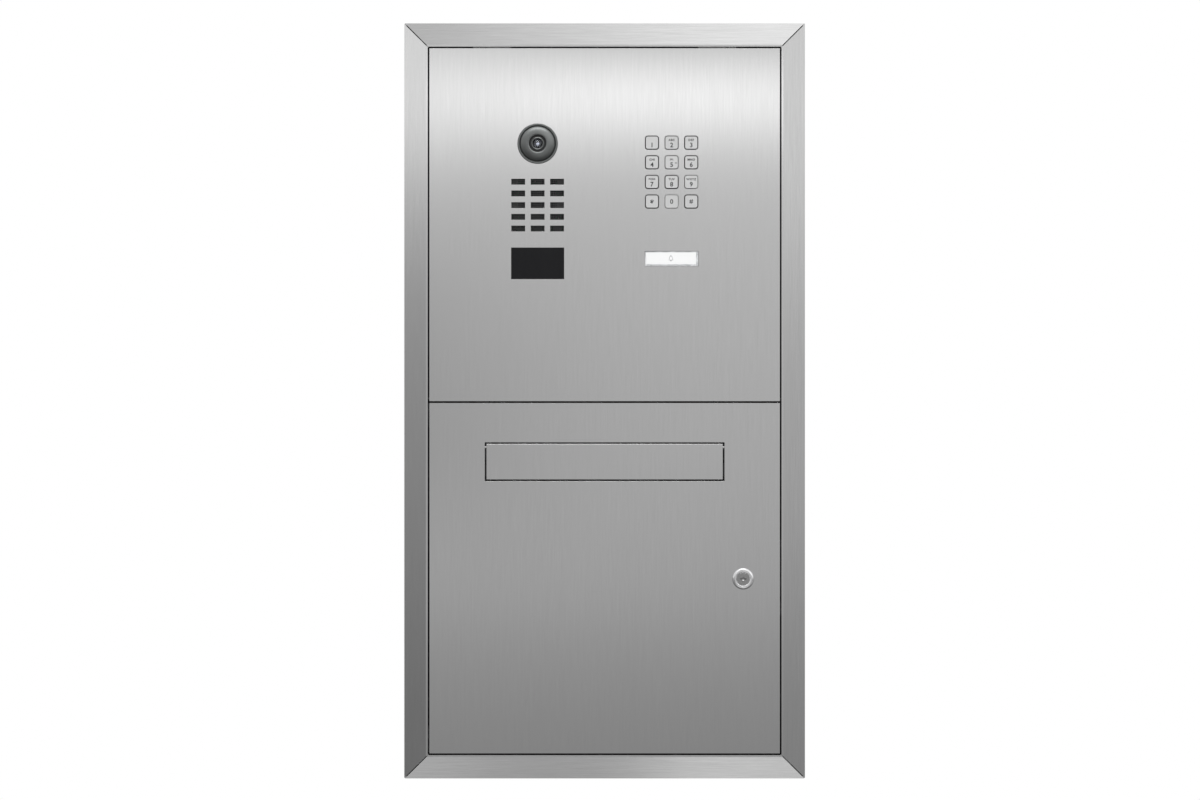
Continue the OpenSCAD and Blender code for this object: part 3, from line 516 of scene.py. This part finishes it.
def text_mesh(text, height, x, y, z, spacing=1.0, bold=0.02, depth=MARK_RISE):
    """Raised characters centred at x and z, with their backs at y."""
    curve = bpy.data.curves.new("text", "FONT")
    curve.body = text
    curve.align_x = "CENTER"
    curve.space_character = spacing
    curve.size = 1.0
    curve.extrude = 0.0
    curve.offset = bold
    curve.resolution_u = 4
    mesh = curve_mesh(curve)
    bm = bmesh.new()
    bm.from_mesh(mesh)
    bpy.data.meshes.remove(mesh)
    xs, ys = [v.co.x for v in bm.verts], [v.co.y for v in bm.verts]
    size = height / (max(ys) - min(ys))
    cx, cy = (min(xs) + max(xs)) / 2, (min(ys) + max(ys)) / 2
    made = bmesh.ops.extrude_face_region(bm, geom=bm.faces[:])["geom"]
    bmesh.ops.translate(bm, verts=[v for v in made if isinstance(v, bmesh.types.BMVert)],
                        vec=(0, 0, depth / size))
    for v in bm.verts:
        v.co = Vector((x + (v.co.x - cx) * size, y - v.co.z * size, z + (v.co.y - cy) * size))
    return bm


def join(target, source):
    """Adds one bmesh to another."""
    mesh = bpy.data.meshes.new("part")
    source.to_mesh(mesh)
    source.free()
    target.from_mesh(mesh)
    bpy.data.meshes.remove(mesh)
    return target


# ---------------------------------------------------------------- keypad and label

KEY_LETTERS = {"2": "ABC", "3": "DEF", "4": "GHI", "5": "JKL", "6": "MNO",
               "7": "PQRS", "8": "TUV", "9": "WXYZ"}
KEY_SIGNS = {"star": "*", "hash": "#"}
DIGIT_HEIGHT, LETTER_HEIGHT = 4.9 * MM, 2.4 * MM
SIGN_HEIGHTS = {"star": 4.4 * MM, "hash": 4.6 * MM}
DIGIT_DROP, LETTER_LIFT = 2.5 * MM, 2.8 * MM

for name in KEY_NAMES:
    sign = name[4:]
    centre, face = middle(name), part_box(name)[0].y
    if sign in KEY_LETTERS:
        marks = text_mesh(sign, DIGIT_HEIGHT, centre.x, face, centre.z - DIGIT_DROP)
        letters = text_mesh(KEY_LETTERS[sign], LETTER_HEIGHT, centre.x, face,
                            centre.z + LETTER_LIFT, 1.12, 0.03)
        join(marks, letters)
        if sign == "5":
            add_box(marks, (centre.x + 3.6 * MM, face - 0.25 * MM, centre.z - 1.1 * MM),
                    (centre.x + 5.6 * MM, face, centre.z - 0.4 * MM), 0.1 * MM)
    else:
        height = SIGN_HEIGHTS.get(sign, DIGIT_HEIGHT)
        drop = DIGIT_DROP if sign == "1" else 0
        marks = text_mesh(KEY_SIGNS.get(sign, sign), height, centre.x, face, centre.z - drop)
    piece(f"marking_{sign}", marks, name, INK)


def bell(x, y, z, size):
    """A plain bell outline with its clapper, as a thin printed mark."""
    outline = [(0.5, -0.32), (0.5, -0.24), (0.38, -0.1), (0.34, 0.12), (0.26, 0.32), (0.1, 0.42),
               (0.08, 0.5), (-0.08, 0.5), (-0.1, 0.42), (-0.26, 0.32), (-0.34, 0.12),
               (-0.38, -0.1), (-0.5, -0.24), (-0.5, -0.32)]
    bm = bmesh.new()
    count = len(outline)
    rings = []
    for scale, shift in ((1, 0), (0.8, -0.01)):
        for depth in (0, LABEL_RISE):
            rings.append([bm.verts.new((x + u * scale * size * 0.75, y - depth,
                                        z + (v * scale + shift) * size)) for u, v in outline])
    outer, outer_top, inner, inner_top = rings
    for k in range(count):
        j = (k + 1) % count
        bm.faces.new((outer[k], outer[j], outer_top[j], outer_top[k]))
        bm.faces.new((inner[k], inner_top[k], inner_top[j], inner[j]))
        bm.faces.new((outer_top[k], outer_top[j], inner_top[j], inner_top[k]))
        bm.faces.new((outer[k], inner[k], inner[j], outer[j]))
    add_dome(bm, x, y, z - 0.42 * size, 0.1 * size, LABEL_RISE, 14, 2, 0.001 * MM)
    return bm


label_centre, label_face = middle("name_plate"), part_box("name_plate")[0].y
PALE_INK = ink("m_label_ink", (0.12, 0.12, 0.13))
piece("bell_mark", bell(label_centre.x, label_face, label_centre.z, 6.3 * MM),
      "call_button", PALE_INK)


# ---------------------------------------------------------------- camera


def face_profile(*points):
    """(radius, height above the front) in millimetres to (radius, y) in metres."""
    return [(r * MM, FRONT - h * MM) for r, h in points]


lens = middle("lens_glass")
ring = bmesh.new()
add_turned(ring, lens.x, lens.z, face_profile((5.35, 1.5), (5.5, 2.2), (6.1, 2.6), (6.8, 2.2),
                                              (7.0, 1.5), (6.1, 1.3)), 72)
piece("lens_ring", ring, "station", CAMERA_GREY)
iris = bmesh.new()
add_turned(iris, lens.x, lens.z, face_profile((1.7, -4.2), (4.15, -2.7), (4.15, -4.6),
                                              (1.7, -4.6)), 48)
piece("lens_iris", iris, "station", LENS_BLACK)
PUPIL = satin_metal("m_lens_pupil", 0.9, 0.25, 0.03, 0.4, (0.97, 0.98, 1), 0.001)
pupil = bmesh.new()
add_dome(pupil, lens.x, FRONT + 4.4 * MM, lens.z, 1.75 * MM, 0.6 * MM, 32, 5, 0.4 * MM)
piece("lens_pupil", pupil, "station", PUPIL)


# ---------------------------------------------------------------- lock face

plug_middle, plug_face = middle("lock_plug"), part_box("lock_plug")[0].y
STUD_CIRCLE, STUD_ROOT, LOWER_DROP = 6 * MM, 0.1 * MM, 1.9 * MM
studs = bmesh.new()
for lean in (-24, 0, 24):
    a = math.radians(90 + lean)
    add_dome(studs, plug_middle.x + STUD_CIRCLE * math.cos(a), plug_face,
             plug_middle.z + STUD_CIRCLE * math.sin(a), 0.6 * MM, 0.5 * MM, 16, 4, STUD_ROOT)
add_dome(studs, plug_middle.x, plug_face, plug_middle.z - LOWER_DROP, 1.3 * MM, 0.9 * MM, 20, 5,
         STUD_ROOT)
piece("plug_studs", studs, "lock", CHROME)


# ---------------------------------------------------------------- loudspeaker mesh


def perforated(low, high, pitch, hole, skip):
    """A sheet with a square grid of eight-sided holes, left solid where skip says so."""
    bm = bmesh.new()
    columns = int((high.x - low.x) / pitch)
    rows = int((high.z - low.z) / pitch)
    x0 = (low.x + high.x) / 2 - columns * pitch / 2
    z0 = (low.z + high.z) / 2 - rows * pitch / 2
    half = pitch / 2

    def rim(cx, cz, y):
        around, square = [], []
        for k in range(8):
            a = math.pi / 4 * k
            c, s = math.cos(a), math.sin(a)
            reach = half / max(abs(c), abs(s))
            square.append(bm.verts.new((cx + c * reach, y, cz + s * reach)))
            around.append(bm.verts.new((cx + c * hole / 2, y, cz + s * hole / 2)))
        for k in range(8):
            j = (k + 1) % 8
            bm.faces.new((around[k], around[j], square[j], square[k]))
        return around

    for i in range(columns):
        for j in range(rows):
            cx, cz = x0 + (i + 0.5) * pitch, z0 + (j + 0.5) * pitch
            if skip(cx, cz):
                for y in (low.y, high.y):
                    bm.faces.new([bm.verts.new((cx + sx * half, y, cz + sz * half))
                                  for sx, sz in ((-1, -1), (1, -1), (1, 1), (-1, 1))])
                continue
            near, far = rim(cx, cz, low.y), rim(cx, cz, high.y)
            for k in range(8):
                m = (k + 1) % 8
                bm.faces.new((near[k], far[k], far[m], near[m]))
    xs, zs = (x0, x0 + columns * pitch), (z0, z0 + rows * pitch)
    for x in xs:
        for j in range(rows):
            bm.faces.new([bm.verts.new((x, y, z0 + (j + d) * pitch))
                          for y, d in ((low.y, 0), (high.y, 0), (high.y, 1), (low.y, 1))])
    for z in zs:
        for i in range(columns):
            bm.faces.new([bm.verts.new((x0 + (i + d) * pitch, y, z))
                          for y, d in ((low.y, 0), (high.y, 0), (high.y, 1), (low.y, 1))])
    bmesh.ops.remove_doubles(bm, verts=bm.verts, dist=0.001 * MM)
    return bm


mesh_low, mesh_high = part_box("speaker_mesh")
screw_low, screw_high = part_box("mesh_screws")
SCREW_R, SCREW_CLEAR = 2.3 * MM, 3.4 * MM
MESH_PITCH, MESH_HOLE = 2.1 * MM, 1.7 * MM
screw_points = [(x, z) for x in (screw_low.x + SCREW_R, screw_high.x - SCREW_R)
                for z in (screw_low.z + SCREW_R, screw_high.z - SCREW_R)]
speaker = piece(
    "perforated_mesh",
    perforated(mesh_low, mesh_high, MESH_PITCH, MESH_HOLE,
               lambda x, z: any(math.hypot(x - a, z - b) < SCREW_CLEAR for a, b in screw_points)),
    "station", MESH_BLACK)
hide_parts("speaker_mesh")


# ---------------------------------------------------------------- springs


def coil_points(start, end, radius, turns, flat=0.0, per_turn=18):
    """A helix between two points of one axis, with closed end turns."""
    axis = (end - start).normalized()
    side = axis.orthogonal().normalized()
    up = axis.cross(side)
    steps = int(turns * per_turn)
    points = []
    for k in range(steps + 1):
        t = k / steps
        along = (t - flat) / (1 - 2 * flat)
        along = min(1, max(0, along))
        a = 2 * math.pi * turns * t
        points.append(start + (end - start) * along + radius * (math.cos(a) * side + math.sin(a) * up))
    return points


spring_low, spring_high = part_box("button_springs")
for name, x in (("left", spring_low.x + 3 * MM), ("right", spring_high.x - 3 * MM)):
    rest_start = spring_low.y - 1.25 * MM
    z = (spring_low.z + spring_high.z) / 2
    start, end = Vector((x, rest_start, z)), Vector((x, spring_high.y - 0.25 * MM, z))
    coil = piece(f"button_spring_{name}", wire_mesh(coil_points(start, end, 2.6 * MM, 3.2, 0.1),
                                                    0.22 * MM), "station", FASTENER)
    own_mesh(coil)
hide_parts("button_springs")

low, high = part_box("flap_springs")
rod = middle("flap_rod")
for name, side in (("left", -1), ("right", 1)):
    outer = (high.x - 0.5 * MM) * side
    inner = outer - 12.6 * MM * side
    start, end = Vector((inner, rod.y, rod.z)), Vector((outer, rod.y, rod.z))
    turns = coil_points(start, end, 1.9 * MM, 14.25, 0.04, 14)
    last = turns[-1]
    turns += [last + Vector((0, 0, 0.5 * MM)), Vector((last.x, last.y, high.z - 0.05 * MM))]
    coil = piece(f"flap_spring_{name}", wire_mesh(turns, 0.28 * MM), "door", FASTENER)
    if side < 0:
        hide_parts("flap_springs")


# ---------------------------------------------------------------- electronics


def chip(bm, x, y, z, w, h, rise, pins=0, faces_front=True):
    """A packaged chip on a board's face at y, with its pins on the two long sides."""
    sign = -1 if faces_front else 1
    ys = sorted((y + sign * 0.15 * MM, y + sign * rise))
    add_box(bm, (x - w / 2, ys[0], z - h / 2), (x + w / 2, ys[1], z + h / 2), 0.2 * MM)
    for k in range(pins):
        px = x - w / 2 + w * (k + 0.5) / pins
        for s in (-1, 1):
            z0, z1 = sorted((z + s * h / 2, z + s * (h / 2 + 1.2 * MM)))
            py = sorted((y, y + sign * 0.3 * MM))
            add_box(bm, (px - 0.2 * MM, py[0], z0), (px + 0.2 * MM, py[1], z1))


board_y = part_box("main_board")[1].y - BOARD_SHEET
parts = bmesh.new()
for x, z, w, h, pins in ((-60, 230, 16, 10, 10), (-60, 200, 12, 8, 8), (88, 260, 14, 9, 9),
                         (30, 290, 10, 6, 6), (-30, 280, 12, 8, 8), (95, 150, 18, 10, 12)):
    chip(parts, x * MM, board_y, z * MM, w * MM, h * MM, 1.6 * MM, pins)
for k in range(26):
    x, z = RNG.uniform(-100, 100) * MM, RNG.uniform(122, 315) * MM
    add_box(parts, (x, board_y - 0.9 * MM, z), (x + 2 * MM, board_y, z + 1.2 * MM), 0.1 * MM)
piece("board_parts", parts, "station", BLACK_PLASTIC)

cans = bmesh.new()
for x, z, r, h in ((-96, 160, 4, 9), (-86, 168, 4, 9), (-98, 178, 5, 11), (60, 170, 3.2, 7),
                   (70, 170, 3.2, 7)):
    cx, cz = x * MM, z * MM
    add_turned(cans, cx, cz, [(0.05 * MM, board_y - h * MM), (0.8 * r * MM, board_y - h * MM),
                              (r * MM, board_y - (h - 0.5) * MM), (r * MM, board_y - 1.5 * MM),
                              (0.9 * r * MM, board_y - 1.1 * MM), (r * MM, board_y - 0.7 * MM),
                              (r * MM, board_y), (0.05 * MM, board_y)], 28)
piece("board_capacitors", cans, "station", FASTENER)


# ---------------------------------------------------------------- stage, light and camera

floor_mesh = bpy.data.meshes.new("studio_floor")
bm = bmesh.new()
bmesh.ops.create_circle(bm, cap_ends=True, radius=7, segments=96,
                        matrix=Matrix.Translation((0, 0, -1.3)))
bm.to_mesh(floor_mesh)
bm.free()
floor = bpy.data.objects.new("studio_floor", floor_mesh)
SCENE.collection.objects.link(floor)
g = Graph("m_floor")
paper = g.noise(g.coords((1, 1, 1)), 9, 4, 0.6)
g.set(Base_Color=g.blend(paper, (0.9, 0.9, 0.9), (0.94, 0.94, 0.94)), Roughness=0.8,
      Emission_Color=(1, 1, 1), Emission_Strength=0.3)
floor_mesh.materials.append(g.material)
floor.visible_glossy = False

world = bpy.data.worlds.new("studio")
SCENE.world = world
world.use_nodes = True
world.node_tree.nodes.clear()
w = Graph("studio", world.node_tree)


def curve_of(value, stops, top=2.0):
    """A piecewise-linear curve through (value, level) stops."""
    lowest, highest = stops[0][0], stops[-1][0]
    node = w.add("ShaderNodeValToRGB")
    band = node.color_ramp
    while len(band.elements) < len(stops):
        band.elements.new(0.5)
    for element, (at, level) in zip(band.elements, stops):
        element.position = (at - lowest) / (highest - lowest)
        element.color = (level / top, level / top, level / top, 1)
    w.feed(node.inputs[0], w.span(value, lowest, highest, 0, 1))
    grey = w.add("ShaderNodeSeparateColor")
    w.feed(grey.inputs[0], node.outputs["Color"])
    return w.math("MULTIPLY", grey.outputs[0], top)


split = w.add("ShaderNodeSeparateXYZ")
w.feed(split.inputs[0], w.add("ShaderNodeTexCoord").outputs["Generated"])
east, north, up = split.outputs
toward = w.math("MAXIMUM", w.math("MULTIPLY", north, -1), 0.05)
sideways = w.math("DIVIDE", east, toward)
# Brightness up and down the studio, ahead of the object and to its two sides. The levels are shaped
# to give the front view its tones, so this is not an even light: from the side the steel is darker.
ahead = curve_of(up, [(-0.5, 0.18), (-0.36, 0.55), (-0.3, 0.68), (-0.2, 0.4), (-0.105, 0.37),
                      (-0.087, 0.43), (-0.073, 0.475), (-0.059, 0.585), (-0.03, 0.66), (0, 0.72),
                      (0.024, 0.76), (0.056, 0.77), (0.072, 0.77), (0.081, 1.2), (0.092, 2.9),
                      (0.101, 1.1), (0.108, 0.35), (0.14, 0.35), (0.3, 1.0), (0.5, 1.0)], 3.0)
left = curve_of(up, [(-0.5, 0.15), (-0.2, 0.19), (-0.09, 0.23), (-0.03, 0.335), (0.03, 0.45),
                     (0.06, 0.66), (0.087, 1.25), (0.11, 1.05), (0.5, 0.95)])
right = curve_of(up, [(-0.5, 0.2), (-0.2, 0.27), (-0.09, 0.35), (-0.03, 0.54), (0.005, 0.58),
                      (0.03, 0.67), (0.087, 1.02), (0.11, 0.95), (0.5, 1.0)])
far_left = w.span(sideways, -0.22, -0.1, 1, 0, True)
near_left = w.math("MULTIPLY", w.span(sideways, -0.075, -0.005, 1, 0, True),
                   w.span(up, -0.055, -0.01, 0, 1))
on_left = w.math("MAXIMUM", far_left, near_left)
on_right = w.span(sideways, 0.0, 0.2, 0, 1, True)


def lerp(factor, a, b):
    return w.math("ADD", w.math("MULTIPLY", a, w.math("SUBTRACT", 1, factor)),
                  w.math("MULTIPLY", b, factor))


facing = lerp(on_right, lerp(on_left, ahead, left), right)
high_tilt = curve_of(sideways, [(-0.12, 0.6), (-0.05, 0.7), (-0.025, 0.95), (0, 1.08),
                                (0.035, 1.35), (0.12, 1.45)])
low_tilt = curve_of(sideways, [(-0.12, 1.35), (-0.048, 1.25), (-0.038, 1.0), (0, 0.97),
                               (0.012, 1.15), (0.03, 1.9), (0.12, 2.0)])
facing = w.math("MULTIPLY", facing, lerp(w.span(up, 0.16, 0.26, 0, 1, True), 1.0, high_tilt))
facing = w.math("MULTIPLY", facing, lerp(w.span(up, -0.26, -0.16, 1, 0, True), 1.0, low_tilt))
around = curve_of(up, [(-1, 0.16), (-0.5, 0.22), (-0.1, 0.45), (0.1, 0.7), (0.5, 1.0), (1, 1.15)])
in_front = w.span(north, -0.75, -0.35, 1, 0, True)
within = w.math("MULTIPLY", in_front, w.span(w.math("ABSOLUTE", up), 0.4, 0.5, 1, 0, True))
level = lerp(within, around, facing)
studio = w.add("ShaderNodeBackground")
w.feed(studio.inputs["Color"], level)
backdrop = w.add("ShaderNodeBackground")
backdrop.inputs["Color"].default_value = (1, 1, 1, 1)
chosen = w.add("ShaderNodeMixShader")
w.feed(chosen.inputs[0], w.add("ShaderNodeLightPath").outputs["Is Camera Ray"])
w.feed(chosen.inputs[1], studio.outputs[0])
w.feed(chosen.inputs[2], backdrop.outputs[0])
end = w.add("ShaderNodeOutputWorld")
w.feed(end.inputs["Surface"], chosen.outputs[0])


def softbox(name, place, aim, size, radiance):
    """A rectangular light of the given radiance, aimed at a point."""
    light = bpy.data.lights.new(name, "AREA")
    light.shape = "RECTANGLE"
    light.size, light.size_y = size
    light.energy = radiance * math.pi * size[0] * size[1]
    obj = bpy.data.objects.new(name, light)
    obj.location = place
    obj.rotation_euler = (Vector(aim) - Vector(place)).to_track_quat("-Z", "Y").to_euler()
    SCENE.collection.objects.link(obj)


softbox("overhead", (0, -1.5, 2.6), (0, 0, 0), (2.4, 1.0), 1.6)
for spot, x in (("left", -0.7), ("middle", 0), ("right", 0.7)):
    softbox(f"spot_{spot}", (x, -1.5, 2.3), (0, 0, 0), (0.35, 0.35), 9)

camera_data = bpy.data.cameras.new("camera")
camera_data.lens = 100
camera_data.sensor_width = 36
camera_data.clip_end = 60
camera = bpy.data.objects.new("camera", camera_data)
camera.location = (-0.0049, FRONT - 3.533, 0.00095)
camera.rotation_euler = (math.pi / 2, 0, 0)
SCENE.collection.objects.link(camera)
SCENE.camera = camera
SCENE.view_settings.view_transform = "Standard"
